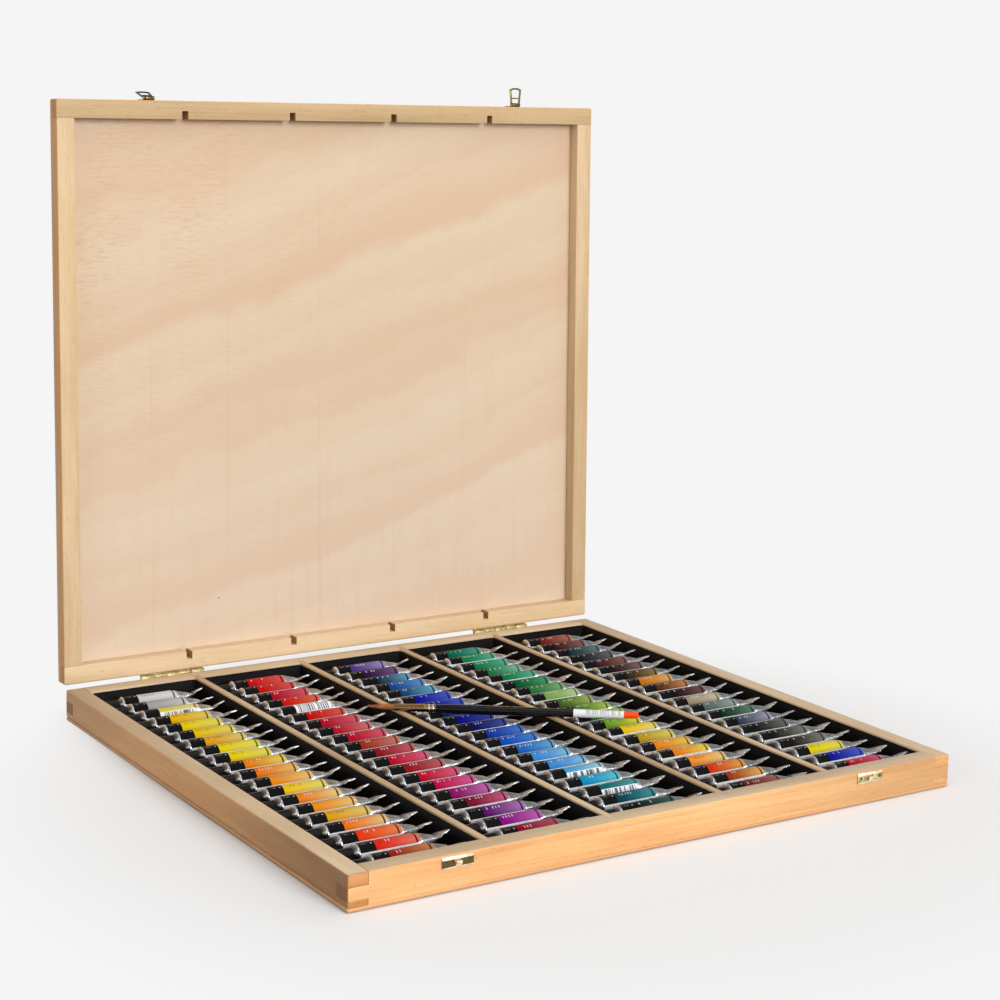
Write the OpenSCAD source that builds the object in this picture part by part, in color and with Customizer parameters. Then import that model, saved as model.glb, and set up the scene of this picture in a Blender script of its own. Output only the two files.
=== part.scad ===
// Wooden paint box: a shallow finger-jointed base whose five lined bays hold aluminium
// paint tubes, a framed lid on two brass hinges, two loop catches, and a brush that lies
// across the dividers.
// Millimetres. X runs along the front, Y to the back, Z up. The origin is the centre of
// the base's underside. The lid is drawn closed and then turned open about its hinge.

/* [Box] */
// Outside width
box_w = 500; // [420:1:600]
// Outside depth, front to back
box_d = 458; // [380:1:560]
// Height of the base, bottom panel included
base_h = 24.5; // [20:0.1:32]
// Height of the lid, its panel included
lid_h = 14.5; // [12:0.1:20]
// Thickness of the walls and of the lid's rails
wall_t = 14.5; // [11:0.5:18]
// Thickness of the two plywood panels
panel_t = 3; // [2:0.1:4]
// Height of one finger of the corner joints
finger_h = 8.6; // [6:0.1:12]
// Gap between the base's rim and the closed lid
seam_gap = 0.4; // [0.2:0.1:0.8]
// How far the lid stands open, where 90 is upright
open_angle = 91.4; // [85:0.1:105]

/* [Dividers and trays] */
// Thickness of a divider, and width of the dado that it sits in
divider_t = 5.2; // [4:0.1:8]
// Depth of the dadoes in the front and back walls and rails
dado_depth = 6.5; // [4:0.5:9]
// Thickness of the formed plastic of a tray
tray_t = 0.8; // [0.6:0.1:1.2]
// How far a tray's edge lies below the rim
tray_drop = 1.2; // [0.5:0.1:3]
// Radius of a tray's upright corners
tray_corner_r = 4; // [2:0.5:8]
// Clearance between loose pieces and what they sit in
fit_gap = 0.3; // [0.2:0.05:0.5]
// Height of the cradle's troughs above the tray's underside
cradle_rise = 4.1; // [3:0.1:6]
// Half the angle over which a trough holds its tube
cradle_wrap = 36; // [25:1:45]

/* [Tubes] */
// Diameter of a paint tube
tube_d = 14; // [11:0.5:18]
// Free space between the crimped ends of neighbouring tubes
tube_gap = 0.65; // [0.5:0.05:4]
// Free space between a tray's side wall and the caps
cap_gap = 2.2; // [1.5:0.1:5]
// Free space between the crimped ends and a tray's other side wall
crimp_gap = 4; // [3:0.1:8]
// Length of a screw cap
cap_len = 14.6; // [10:0.1:18]
// Diameter of a screw cap over its ribs
cap_d = 10.6; // [8:0.1:12]
// Length of the cone from the neck to the body
shoulder_len = 3.4; // [2:0.1:6]
// Length over which the body thins towards its crimp
taper_len = 17; // [12:1:30]
// Length over which the press closes the belly to the crimp
press_len = 2.8; // [1:0.1:6]
// Thickness of the belly where the press starts
belly_t = 7.2; // [4:0.1:10]
// Width of the belly there
belly_w = 17.2; // [14:0.1:20]
// Thickness of the flattened metal before the fold
crimp_t = 0.9; // [0.6:0.1:1.5]
// Length of the folded end
fold_len = 8.4; // [5:0.1:10]
// Thickness of the folded end
fold_t = 1.7; // [1.2:0.1:2.4]
// Roll of a tube about its own axis, front edge of the crimp up
tube_roll = 25; // [10:1:50]

/* [Hinges] */
// Length of a hinge
hinge_len = 55; // [40:1:70]
// Distance from the box's middle to a hinge's middle
hinge_x = 158; // [120:1:200]
// Height of a leaf from the pin's axis
leaf_h = 11; // [9:0.1:14]
// Thickness of a leaf
leaf_t = 1; // [0.8:0.1:1.2]
// Diameter of the knuckles
knuckle_d = 4; // [3.4:0.1:6]
// Diameter of the hinge pins
hinge_pin_d = 2.2; // [1.6:0.1:2.8]
// Radial clearance of a pin in its knuckles
pin_play = 0.05; // [0.02:0.01:0.08]

/* [Catches] */
// Distance from the box's middle to a catch's middle
catch_x = 172; // [140:1:220]
// Height of a catch's pivot above the lid's lower edge
pivot_rise = 4.7; // [3:0.1:7]
// Reach of a loop from its pivot to its far edge
loop_len = 14.6; // [12:0.1:18]
// Width of a loop at its far edge
loop_w = 12; // [10:0.1:14]
// Width of the metal round a loop's windows
loop_bar = 1.5; // [1.2:0.1:2]
// Width of the bar across a loop
loop_cross = 1.1; // [0.8:0.1:2]
// Distance of that bar's middle from the pivot
loop_cross_at = 5.6; // [4:0.1:7]
// Radius of a loop's arched far edge
loop_arch_r = 13; // [8:0.5:30]
// Thickness of the catches' sheet brass
brass_t = 0.6; // [0.5:0.1:1]
// Rise of a keeper's bowed face off the wood
keeper_bow = 0.4; // [0.2:0.05:1]
// How far the left loop stands open from its latched place
left_loop_angle = 160; // [0:1:175]
// How far the right loop stands open from its latched place
right_loop_angle = 90; // [0:1:175]

/* [Brush] */
// Length of the whole brush
brush_len = 210; // [160:1:240]
// Greatest diameter of the handle
handle_d = 7.4; // [5:0.1:9]
// Diameter of the handle's far end
handle_end_d = 5.2; // [4:0.1:7]
// Length of the hair outside the ferrule
hair_len = 23; // [15:0.5:30]
// Length of the ferrule
ferrule_len = 32; // [20:0.5:40]
// Turn of the brush about Z, away from the box's width
brush_turn = -36; // [-60:1:0]
// Place of the hair's tip from the box's middle, to the right
brush_x = -70; // [-120:1:0]
// Place of the hair's tip from the box's middle, to the back
brush_y = 71; // [-50:1:150]

/* [Hidden] */

BEECH = "#dcb68a";
PLYWOOD = "#e2c6aa";
BRASS = "#c9a95c";
STEEL = "#9c9a94";
LINER = "#1c1b1d";
ALUMINIUM = "#c4c5c8";
CAP_BLACK = "#191817";

bay_count = 5;
inner_w = box_w - 2*wall_t;
inner_d = box_d - 2*wall_t;
bay_w = (inner_w - (bay_count - 1)*divider_t)/bay_count;
bay_pitch = bay_w + divider_t;
lid_z = base_h + seam_gap;
rail_h = lid_h - panel_t;

// The trays stand on the bottom panel, and the tubes lie in the trays' cradles.
tray_z = panel_t + fit_gap;
tray_w = bay_w - 2*fit_gap;
tray_d = inner_d - 2*fit_gap;
trough_z = tray_z + cradle_rise;
trough_r = tube_d/2 + fit_gap;
tube_z = trough_z + trough_r;
land_z = tube_z - trough_r*cos(cradle_wrap);
cradle_x = [24, 48];

// A flattened tube keeps its girth, so its crimp is half the girth wide.
crimp_w = PI*tube_d/2 - 0.5;
tube_pitch = crimp_w*cos(tube_roll) + fold_t*sin(tube_roll) + tube_gap;
tube_count = floor((tray_d - 2*tray_t - crimp_w)/tube_pitch) + 1;
tube_len = tray_w - 2*tray_t - cap_gap - crimp_gap;
crimp_x = tube_len - fold_len;
taper_x = crimp_x - taper_len;
belly_x = crimp_x - press_len;
neck_r = 3.6;
neck_len = 9;
lip_r = 4.6;

// The hinges' pins lie behind the box, level with the closed lid's lower edge.
pin_y = box_d/2 + knuckle_d/2 + fit_gap;
pin_z = lid_z;
knuckle_count = 5;
knuckle_gap = 0.2;
knuckle_len = hinge_len/knuckle_count;
hinge_screw_x = [-0.36*hinge_len, 0, 0.36*hinge_len];
hinge_screw_drop = 7.2;
screw_d = 2.4;
screw_head_d = 4.4;
screw_len = 9;

// Catch pivots, in front of the closed lid's front rail.
eye_r = 1.5;
pivot_y = -box_d/2 - eye_r - fit_gap;
pivot_z = lid_z + pivot_rise;
catch_pin_r = 0.7;
eye_w = 1.4;
plate_knuckle_w = 5.8;
eye_x = plate_knuckle_w/2 + knuckle_gap;
loop_t = 0.9;
nail_r = 0.6;
nail_head_r = 1.1;
nail_len = 6;

// The keeper's tongue stands just above the latched loop's far bar.
keeper_w = 23;
keeper_h = 7.4;
tongue_w = 4.2;
tongue_z = pivot_z - loop_len + loop_bar + 0.7;
keeper_z = tongue_z - 1.4;
keeper_nail_x = 0.37*keeper_w;
catch_nail_x = 4.2;
catch_plate_w = 12;
catch_plate_h = 8.6;
catch_nail_rise = 5.6;

// The brush lies on two dividers, or on the tubes where they stand higher.
ferrule_r = 2.6;
ferrule_mouth_r = 3.1;
sleeve_t = 0.25;
handle_steps = 16;
sleeve_steps = [11, 15];
rest_z = max(base_h, tube_z + tube_d/2) + fit_gap;

function divider_x(k) = -inner_w/2 + k*bay_pitch - divider_t/2;
function bay_x(k) = -inner_w/2 + (k - 1)*bay_pitch;
function tube_y(i) = ((tube_count - 1)/2 - i)*tube_pitch;
// A small fixed unevenness between -1 and 1, for tubes that were laid in by hand
function uneven(i, k) = sin(137.5*i + 61*k + 23*i*k);

// Fingers of a corner joint, counted from the seam: every other one, from first on
function finger_spans(seam, far, first) =
    let (way = sign(far - seam), n = ceil(abs(far - seam)/finger_h))
    [for (k = [first:2:n - 1])
        let (a = seam + way*k*finger_h,
             b = way > 0 ? min(far, a + finger_h) : max(far, a - finger_h))
        [min(a, b), max(a, b)]];

// ---- Placing helpers ----

// An outline in X and Z, thickened by t towards +Y
module towards_y(t) {
    translate([0, t, 0]) rotate([90, 0, 0]) linear_extrude(t) children();
}

// An outline in Y and Z, thickened by t towards +X
module towards_x(t) {
    rotate([90, 0, 90]) linear_extrude(t) children();
}

// Turns what is drawn on the closed lid to where the open lid stands
module on_open_lid() {
    translate([0, pin_y, pin_z]) rotate([-open_angle, 0, 0])
        translate([0, -pin_y, -pin_z]) children();
}

// Turns a latched loop open about its pivot
module loop_turned(angle) {
    translate([0, pivot_y, pivot_z]) rotate([-angle, 0, 0])
        translate([0, -pivot_y, -pivot_z]) children();
}

module at_dividers() {
    for (k = [1:bay_count - 1]) translate([divider_x(k), 0, 0]) children();
}

// ---- Woodwork ----

// Outline of a board with fingers at both ends
module board_outline(length, seam, far, first) {
    translate([-length/2 + wall_t, min(seam, far)])
        square([length - 2*wall_t, abs(far - seam)]);
    for (s = finger_spans(seam, far, first))
        translate([-length/2, s[0]]) square([length, s[1] - s[0]]);
}

// A board along the front or back, with a dado on its inner face for each divider
module dadoed_board(seam, far, first, side) {
    difference() {
        translate([0, side < 0 ? -box_d/2 : box_d/2 - wall_t, 0])
            towards_y(wall_t) board_outline(box_w, seam, far, first);
        at_dividers()
            translate([-divider_t/2, side*(inner_d/2 + dado_depth/2) - dado_depth/2,
                       min(seam, far) - 1])
                cube([divider_t, dado_depth, abs(far - seam) + 2]);
    }
}

module side_board(seam, far, first, side) {
    translate([side < 0 ? -box_w/2 : box_w/2 - wall_t, 0, 0])
        towards_x(wall_t) board_outline(box_d, seam, far, first);
}

module base_front_wall() {
    color(BEECH) difference() {
        dadoed_board(base_h, panel_t, 1, -1);
        at_keeper_nails() nail();
    }
}

module base_back_wall() {
    color(BEECH) difference() {
        dadoed_board(base_h, panel_t, 1, 1);
        at_base_screws() screw();
    }
}

module base_left_wall() { color(BEECH) side_board(base_h, panel_t, 0, -1); }
module base_right_wall() { color(BEECH) side_board(base_h, panel_t, 0, 1); }

module base_bottom_panel() {
    color(PLYWOOD) translate([-box_w/2, -box_d/2, 0]) cube([box_w, box_d, panel_t]);
}

module divider(k) {
    length = inner_d + 2*dado_depth;
    color(BEECH) translate([divider_x(k) - divider_t/2, -length/2, panel_t])
        cube([divider_t, length, base_h - panel_t]);
}

module divider_1() { divider(1); }
module divider_2() { divider(2); }
module divider_3() { divider(3); }
module divider_4() { divider(4); }

module lid_front_rail() {
    color(BEECH) on_open_lid() difference() {
        dadoed_board(lid_z, lid_z + rail_h, 0, -1);
        at_catch_nails() nail();
    }
}

module lid_back_rail() {
    color(BEECH) on_open_lid() difference() {
        dadoed_board(lid_z, lid_z + rail_h, 0, 1);
        at_lid_screws() screw();
    }
}

module lid_left_rail() {
    color(BEECH) on_open_lid() side_board(lid_z, lid_z + rail_h, 1, -1);
}

module lid_right_rail() {
    color(BEECH) on_open_lid() side_board(lid_z, lid_z + rail_h, 1, 1);
}

module lid_panel() {
    color(PLYWOOD) on_open_lid()
        translate([-box_w/2, -box_d/2, lid_z + rail_h]) cube([box_w, box_d, panel_t]);
}

// ---- Fasteners ----

// A round-headed nail along +Y, with its head's underside at the origin
module nail() {
    rotate([-90, 0, 0]) rotate_extrude($fn = 32)
        polygon([[0, -0.5], [0.6*nail_head_r, -0.45], [nail_head_r, 0], [nail_r, 0],
                 [nail_r, nail_len - 1.5], [0, nail_len]]);
}

// A countersunk screw along -Y, with its head flush at the origin
module screw() {
    rotate([90, 0, 0]) rotate_extrude($fn = 32)
        polygon([[0, 0], [screw_head_d/2, 0], [screw_d/2, leaf_t],
                 [screw_d/2, screw_len - 2.5], [0, screw_len]]);
}

module at_keeper_nails() {
    for (side = [-1, 1], s = [-1, 1])
        translate([side*catch_x + s*keeper_nail_x, -box_d/2 - keeper_bow - brass_t,
                   keeper_z + keeper_h/2]) children();
}

module at_catch_nails() {
    for (side = [-1, 1], s = [-1, 1])
        translate([side*catch_x + s*catch_nail_x, -box_d/2 - brass_t,
                   pivot_z + catch_nail_rise]) children();
}

module at_leaf_screws(x, drop) {
    for (sx = hinge_screw_x)
        translate([x + sx, box_d/2 + leaf_t, pin_z + drop]) children();
}

module at_base_screws() {
    for (side = [-1, 1]) at_leaf_screws(side*hinge_x, -hinge_screw_drop) children();
}

module at_lid_screws() {
    for (side = [-1, 1]) at_leaf_screws(side*hinge_x, hinge_screw_drop) children();
}

module keeper_nails() { color(BRASS) at_keeper_nails() nail(); }
module catch_nails() { color(BRASS) on_open_lid() at_catch_nails() nail(); }
module base_hinge_screws() { color(BRASS) at_base_screws() screw(); }
module lid_hinge_screws() { color(BRASS) on_open_lid() at_lid_screws() screw(); }

// ---- Hinges ----

// One leaf with its knuckles, closed. way is -1 for the base's leaf, below the pin,
// and 1 for the lid's, above it; first is its first knuckle.
module hinge_leaf(x, way, first) {
    clear_r = knuckle_d/2 + fit_gap;
    difference() {
        union() {
            translate([x - hinge_len/2, box_d/2, way < 0 ? pin_z - leaf_h : pin_z])
                cube([hinge_len, leaf_t, leaf_h]);
            for (k = [first:2:knuckle_count - 1])
                translate([x - hinge_len/2 + k*knuckle_len + knuckle_gap/2, pin_y, pin_z])
                    rotate([0, 90, 0])
                        cylinder(d = knuckle_d, h = knuckle_len - knuckle_gap, $fn = 48);
        }
        // room for the other leaf's knuckles
        for (k = [1 - first:2:knuckle_count - 1])
            translate([x - hinge_len/2 + k*knuckle_len - knuckle_gap/2,
                       box_d/2 - 1, pin_z - clear_r])
                cube([knuckle_len + knuckle_gap, leaf_t + 2, 2*clear_r]);
        translate([x - hinge_len/2 - 1, pin_y, pin_z]) rotate([0, 90, 0])
            cylinder(r = hinge_pin_d/2 + pin_play, h = hinge_len + 2, $fn = 48);
        at_leaf_screws(x, way*hinge_screw_drop) screw();
    }
}

module hinge_pins() {
    color(STEEL) for (side = [-1, 1])
        translate([side*hinge_x - hinge_len/2, pin_y, pin_z]) rotate([0, 90, 0])
            cylinder(d = hinge_pin_d, h = hinge_len, $fn = 48);
}

module base_hinge_leaf_left() { color(BRASS) hinge_leaf(-hinge_x, -1, 0); }
module base_hinge_leaf_right() { color(BRASS) hinge_leaf(hinge_x, -1, 0); }
module lid_hinge_leaf_left() { color(BRASS) on_open_lid() hinge_leaf(-hinge_x, 1, 1); }
module lid_hinge_leaf_right() { color(BRASS) on_open_lid() hinge_leaf(hinge_x, 1, 1); }

// ---- Catches ----

// Plate on the base's front: sheet bowed about the X axis, whose upper and lower edges
// touch the wood, with a tongue pressed out of a window in it
module keeper(x) {
    window_w = tongue_w + 1.2;
    window_h = 4.2;
    inner_r = (pow(keeper_h/2, 2) + pow(keeper_bow, 2))/(2*keeper_bow);
    face_y = keeper_bow + brass_t;
    color(BRASS) difference() {
        translate([0, -box_d/2, 0]) union() {
            difference() {
                translate([x - keeper_w/2, 0, 0]) towards_x(keeper_w) intersection() {
                    translate([inner_r - keeper_bow, keeper_z + keeper_h/2]) difference() {
                        circle(r = inner_r + brass_t, $fn = 96);
                        circle(r = inner_r, $fn = 96);
                    }
                    translate([-2*face_y, keeper_z]) square([2*face_y, keeper_h]);
                }
                translate([x - window_w/2, -2*face_y, tongue_z])
                    cube([window_w, 4*face_y, window_h]);
            }
            translate([x - tongue_w/2, 0, tongue_z]) towards_x(tongue_w)
                polygon([[-keeper_bow, 0.3], [-keeper_bow, -0.4], [-face_y, -0.4],
                         [-face_y - 0.8, 0.1], [-face_y - 1.7, 1.6], [-face_y - 1.8, 3.3],
                         [-face_y - 1.2, 3.3], [-face_y - 1.1, 1.8], [-face_y - 0.5, 0.7],
                         [-face_y, 0.3]]);
        }
        at_keeper_nails() nail();
    }
}

// Plate on the lid's front rail, with the knuckle that carries a loop
module catch_plate(x) {
    color(BRASS) on_open_lid() difference() {
        union() {
            translate([x - catch_plate_w/2, -box_d/2 - brass_t, pivot_z + eye_r + fit_gap])
                cube([catch_plate_w, brass_t, catch_plate_h - eye_r - fit_gap]);
            translate([x - plate_knuckle_w/2, -box_d/2 - brass_t, pivot_z])
                cube([plate_knuckle_w, brass_t, catch_plate_h/2]);
            translate([x - plate_knuckle_w/2, pivot_y, pivot_z]) rotate([0, 90, 0])
                cylinder(r = eye_r, h = plate_knuckle_w, $fn = 40);
        }
        translate([x - plate_knuckle_w, pivot_y, pivot_z]) rotate([0, 90, 0])
            cylinder(r = catch_pin_r + pin_play, h = 2*plate_knuckle_w, $fn = 40);
        at_catch_nails() nail();
    }
}

// Outline of a loop hanging from its pivot: a widening ring with a crossbar, cut to an
// arch at its far edge
module loop_outline() {
    near_w = 2*(eye_x + eye_w);
    cross_z = loop_cross_at - loop_cross/2;
    function half_w(z) = (near_w + (loop_w - near_w)*z/loop_len)/2;
    module between(z0, z1, inset) {
        polygon([[inset - half_w(z0), -z0], [half_w(z0) - inset, -z0],
                 [half_w(z1) - inset, -z1], [inset - half_w(z1), -z1]]);
    }
    module under_arch(r) {
        translate([0, loop_arch_r - loop_len]) circle(r = r, $fn = 96);
    }
    difference() {
        intersection() {
            between(0, loop_len, 0);
            under_arch(loop_arch_r);
        }
        between(-1, cross_z, loop_bar);
        intersection() {
            between(cross_z + loop_cross, loop_len, loop_bar);
            under_arch(loop_arch_r - loop_bar);
        }
    }
}

module catch_loop(x, angle) {
    color(BRASS) on_open_lid() loop_turned(angle) difference() {
        union() {
            translate([x, pivot_y - loop_t/2, pivot_z]) towards_y(loop_t) loop_outline();
            for (s = [-1, 1])
                translate([x + s*(eye_x + eye_w/2) - eye_w/2, pivot_y, pivot_z])
                    rotate([0, 90, 0]) cylinder(r = eye_r, h = eye_w, $fn = 40);
        }
        translate([x - loop_w, pivot_y, pivot_z]) rotate([0, 90, 0])
            cylinder(r = catch_pin_r + pin_play, h = 2*loop_w, $fn = 40);
    }
}

module catch_pins() {
    length = 2*(eye_x + eye_w);
    color(BRASS) on_open_lid() for (side = [-1, 1])
        translate([side*catch_x - length/2, pivot_y, pivot_z]) rotate([0, 90, 0])
            cylinder(r = catch_pin_r, h = length, $fn = 40);
}

module keeper_left() { keeper(-catch_x); }
module keeper_right() { keeper(catch_x); }
module catch_plate_left() { catch_plate(-catch_x); }
module catch_plate_right() { catch_plate(catch_x); }
module catch_loop_left() { catch_loop(-catch_x, left_loop_angle); }
module catch_loop_right() { catch_loop(catch_x, right_loop_angle); }

// ---- Trays ----

// Outline of the cradle's top in Y and Z: a round trough under each tube, flat lands
// between. down lowers it by the sheet's thickness, for the hollow underneath.
module cradle_outline(down) {
    steps = 6;
    reach = tray_d/2 - tray_t - down;
    floor_z = tray_z - 1;
    polygon(concat(
        [[-reach, floor_z], [-reach, land_z - down]],
        [for (i = [tube_count - 1:-1:0], s = [0:steps])
            let (a = cradle_wrap*(2*s/steps - 1), r = trough_r + down)
            [tube_y(i) + r*sin(a), tube_z - r*cos(a)]],
        [[reach, land_z - down], [reach, floor_z]]));
}

// Plan of a tray with rounded corners, drawn in by inset
module tray_outline(inset) {
    w = tray_w - 2*inset;
    d = tray_d - 2*inset;
    r = tray_corner_r - inset;
    square([w - 2*r, d], center = true);
    square([w, d - 2*r], center = true);
    for (sx = [-1, 1], sy = [-1, 1])
        translate([sx*(w/2 - r), sy*(d/2 - r)]) circle(r = r, $fn = 40);
}

// A formed liner: four thin walls, a flat floor, and a raised cradle across it
module tray(k) {
    top_z = base_h - tray_drop;
    x0 = bay_x(k) + fit_gap;
    color(LINER) difference() {
        union() {
            difference() {
                translate([x0 + tray_w/2, 0, tray_z])
                    linear_extrude(top_z - tray_z) tray_outline(0);
                translate([x0 + tray_w/2, 0, tray_z + tray_t])
                    linear_extrude(top_z) tray_outline(tray_t);
            }
            intersection() {
                translate([x0 + cradle_x[0], 0, 0])
                    towards_x(cradle_x[1] - cradle_x[0]) cradle_outline(0);
                translate([x0, -tray_d/2, tray_z]) cube([tray_w, tray_d, base_h]);
            }
        }
        translate([x0 + cradle_x[0] + tray_t, 0, 0])
            towards_x(cradle_x[1] - cradle_x[0] - 2*tray_t) cradle_outline(tray_t);
    }
}

module tray_1() { tray(1); }
module tray_2() { tray(2); }
module tray_3() { tray(3); }
module tray_4() { tray(4); }
module tray_5() { tray(5); }

// ---- Tubes ----

// A tube along +X from its cap's outer end: a revolved neck, shoulder and body that
// widens towards the crimp, cut to the thinning belly that the press leaves, and a
// folded end bent up by bend degrees
module tube(bend) {
    r = tube_d/2;
    margin = 1;
    fold_root = [crimp_x, -crimp_t/2];
    along = [cos(bend), sin(bend)];
    across = [-sin(bend), cos(bend)];
    intersection() {
        rotate([0, 90, 0]) rotate_extrude($fn = 48)
            polygon([[0, cap_len - neck_len], [neck_r, cap_len - neck_len],
                     [neck_r, cap_len], [lip_r, cap_len], [r, cap_len + shoulder_len],
                     [r, taper_x], [belly_w/2, belly_x], [crimp_w/2, crimp_x],
                     [crimp_w/2, tube_len], [0, tube_len]]);
        translate([0, crimp_w/2 + margin, 0]) rotate([90, 0, 0])
            linear_extrude(crimp_w + 2*margin) {
                polygon([[0, -r - margin], [taper_x, -r - margin], [belly_x, -belly_t/2],
                         fold_root, [crimp_x, crimp_t/2], [belly_x, belly_t/2],
                         [taper_x, r + margin], [0, r + margin]]);
                polygon([fold_root, fold_root + fold_len*along,
                         fold_root + fold_len*along + fold_t*across,
                         fold_root + fold_t*across]);
            }
    }
}

// A ribbed screw cap along +X, bored for the tube's neck
module cap() {
    ribs = 12;
    depth = 0.35;
    rotate([0, 90, 0]) difference() {
        union() {
            linear_extrude(cap_len - 1)
                polygon([for (a = [0:180/ribs:359])
                    (cap_d/2 - depth/2 + depth/2*cos(ribs*a))*[cos(a), sin(a)]]);
            translate([0, 0, cap_len - 1.5]) cylinder(d = cap_d, h = 1.5, $fn = 40);
        }
        translate([0, 0, cap_len - neck_len]) cylinder(r = neck_r, h = neck_len + 1, $fn = 40);
    }
}

// Puts what is drawn for one tube in each place of bay k, a little unevenly
module at_tubes(k) {
    for (i = [0:tube_count - 1])
        translate([bay_x(k) + fit_gap + tray_t + cap_gap + 0.8*uneven(i, k),
                   tube_y(i), tube_z])
            rotate([-tube_roll - 3*uneven(i + 3, k), 0, 0]) {
                $bend = 16 + 7*uneven(i + 7, k);
                children();
            }
}

module tubes(k) { color(ALUMINIUM) at_tubes(k) tube($bend); }
module caps(k) { color(CAP_BLACK) at_tubes(k) cap(); }

module tubes_1() { tubes(1); }
module tubes_2() { tubes(2); }
module tubes_3() { tubes(3); }
module tubes_4() { tubes(4); }
module tubes_5() { tubes(5); }
module caps_1() { caps(1); }
module caps_2() { caps(2); }
module caps_3() { caps(3); }
module caps_4() { caps(4); }
module caps_5() { caps(5); }

// ---- Brush ----

// Radius of the handle at s from the hair's tip: a belly behind the ferrule that
// thins to the far end
function handle_r(s) =
    let (s0 = hair_len + ferrule_len, t = (s - s0)/(brush_len - s0))
    t < 0.12 ? ferrule_mouth_r + (handle_d/2 - ferrule_mouth_r)*sin(90*t/0.12)
             : handle_end_d/2 + (handle_d/2 - handle_end_d/2)*pow(cos(90*(t - 0.12)/0.88), 1.5);

// Outline points of the handle between two of its steps, moved out by t
function handle_points(first, last, t) =
    let (s1 = hair_len + ferrule_len)
    [for (k = [first:last]) let (s = s1 + (brush_len - 2 - s1)*k/handle_steps)
        [handle_r(s) + t, s]];

// Where the brush crosses a divider, measured from the hair's tip
function crossing(k) = (divider_x(k) - brush_x)/cos(brush_turn);
brush_s = [crossing(2), crossing(3)];
rest_r = [ferrule_r + 0.1, handle_r(brush_s[1])];
brush_tilt = asin((rest_r[1] - rest_r[0])/(brush_s[1] - brush_s[0]));

// Lays a brush drawn along +X from its tip on dividers 2 and 3
module laid_brush() {
    translate([brush_x, brush_y, rest_z]) rotate([0, 0, brush_turn])
        translate([brush_s[0], 0, rest_r[0]]) rotate([0, -brush_tilt, 0])
            translate([-brush_s[0], 0, 0]) children();
}

// An outline of [radius, place] points, turned about the brush's axis
module turned(points) {
    rotate([0, 90, 0]) rotate_extrude($fn = 40) polygon(points);
}

module brush_hair() {
    root = 6;
    color("#b5753a") laid_brush()
        turned(concat([for (t = [0:0.125:1])
                          [ferrule_r*0.86*pow(sin(90*t), 0.8), hair_len*t]],
                      [[ferrule_r*0.86, hair_len + root], [0, hair_len + root]]));
}

module brush_ferrule() {
    s0 = hair_len;
    s1 = hair_len + ferrule_len;
    wall = 0.3;
    crimp = 0.2;
    color("#b79a58") laid_brush() turned([
        [ferrule_r - wall, s0], [ferrule_r, s0], [ferrule_mouth_r, s1 - 9],
        [ferrule_mouth_r - crimp, s1 - 8], [ferrule_mouth_r, s1 - 7],
        [ferrule_mouth_r, s1 - 5], [ferrule_mouth_r - crimp, s1 - 4],
        [ferrule_mouth_r, s1 - 3], [ferrule_mouth_r, s1],
        [ferrule_mouth_r - wall - crimp, s1],
        [ferrule_mouth_r - wall - crimp, s1 - 12], [ferrule_r*0.86, s1 - 14],
        [ferrule_r*0.86, s0]]);
}

module brush_handle() {
    s1 = hair_len + ferrule_len;
    tenon_r = ferrule_mouth_r - 0.5;
    color("#141312") laid_brush() turned(concat(
        [[0, s1 - 12], [tenon_r, s1 - 12], [tenon_r, s1]],
        handle_points(0, handle_steps, 0),
        [[handle_end_d/2 - 1, brush_len - 0.5], [0, brush_len]]));
}

// A paper sleeve round the handle, near its far end
module brush_sleeve() {
    points = handle_points(sleeve_steps[0], sleeve_steps[1], 0);
    color("#eeeeec") laid_brush() turned(concat(
        points, [for (k = [len(points) - 1:-1:0]) points[k] + [sleeve_t, 0]]));
}

base_front_wall();
base_back_wall();
base_left_wall();
base_right_wall();
base_bottom_panel();
divider_1();
divider_2();
divider_3();
divider_4();
keeper_left();
keeper_right();
keeper_nails();
base_hinge_leaf_left();
base_hinge_leaf_right();
base_hinge_screws();
hinge_pins();
lid_front_rail();
lid_back_rail();
lid_left_rail();
lid_right_rail();
lid_panel();
lid_hinge_leaf_left();
lid_hinge_leaf_right();
lid_hinge_screws();
catch_plate_left();
catch_plate_right();
catch_nails();
catch_pins();
catch_loop_left();
catch_loop_right();
tray_1();
tray_2();
tray_3();
tray_4();
tray_5();
tubes_1();
tubes_2();
tubes_3();
tubes_4();
tubes_5();
caps_1();
caps_2();
caps_3();
caps_4();
caps_5();
brush_hair();
brush_ferrule();
brush_handle();
brush_sleeve();
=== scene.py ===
"""A wooden paint box with a hinged lid, five trays of paint tubes and a brush, in a studio."""

import math

import bmesh
import bpy
from mathutils import Matrix, Vector, noise


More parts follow.
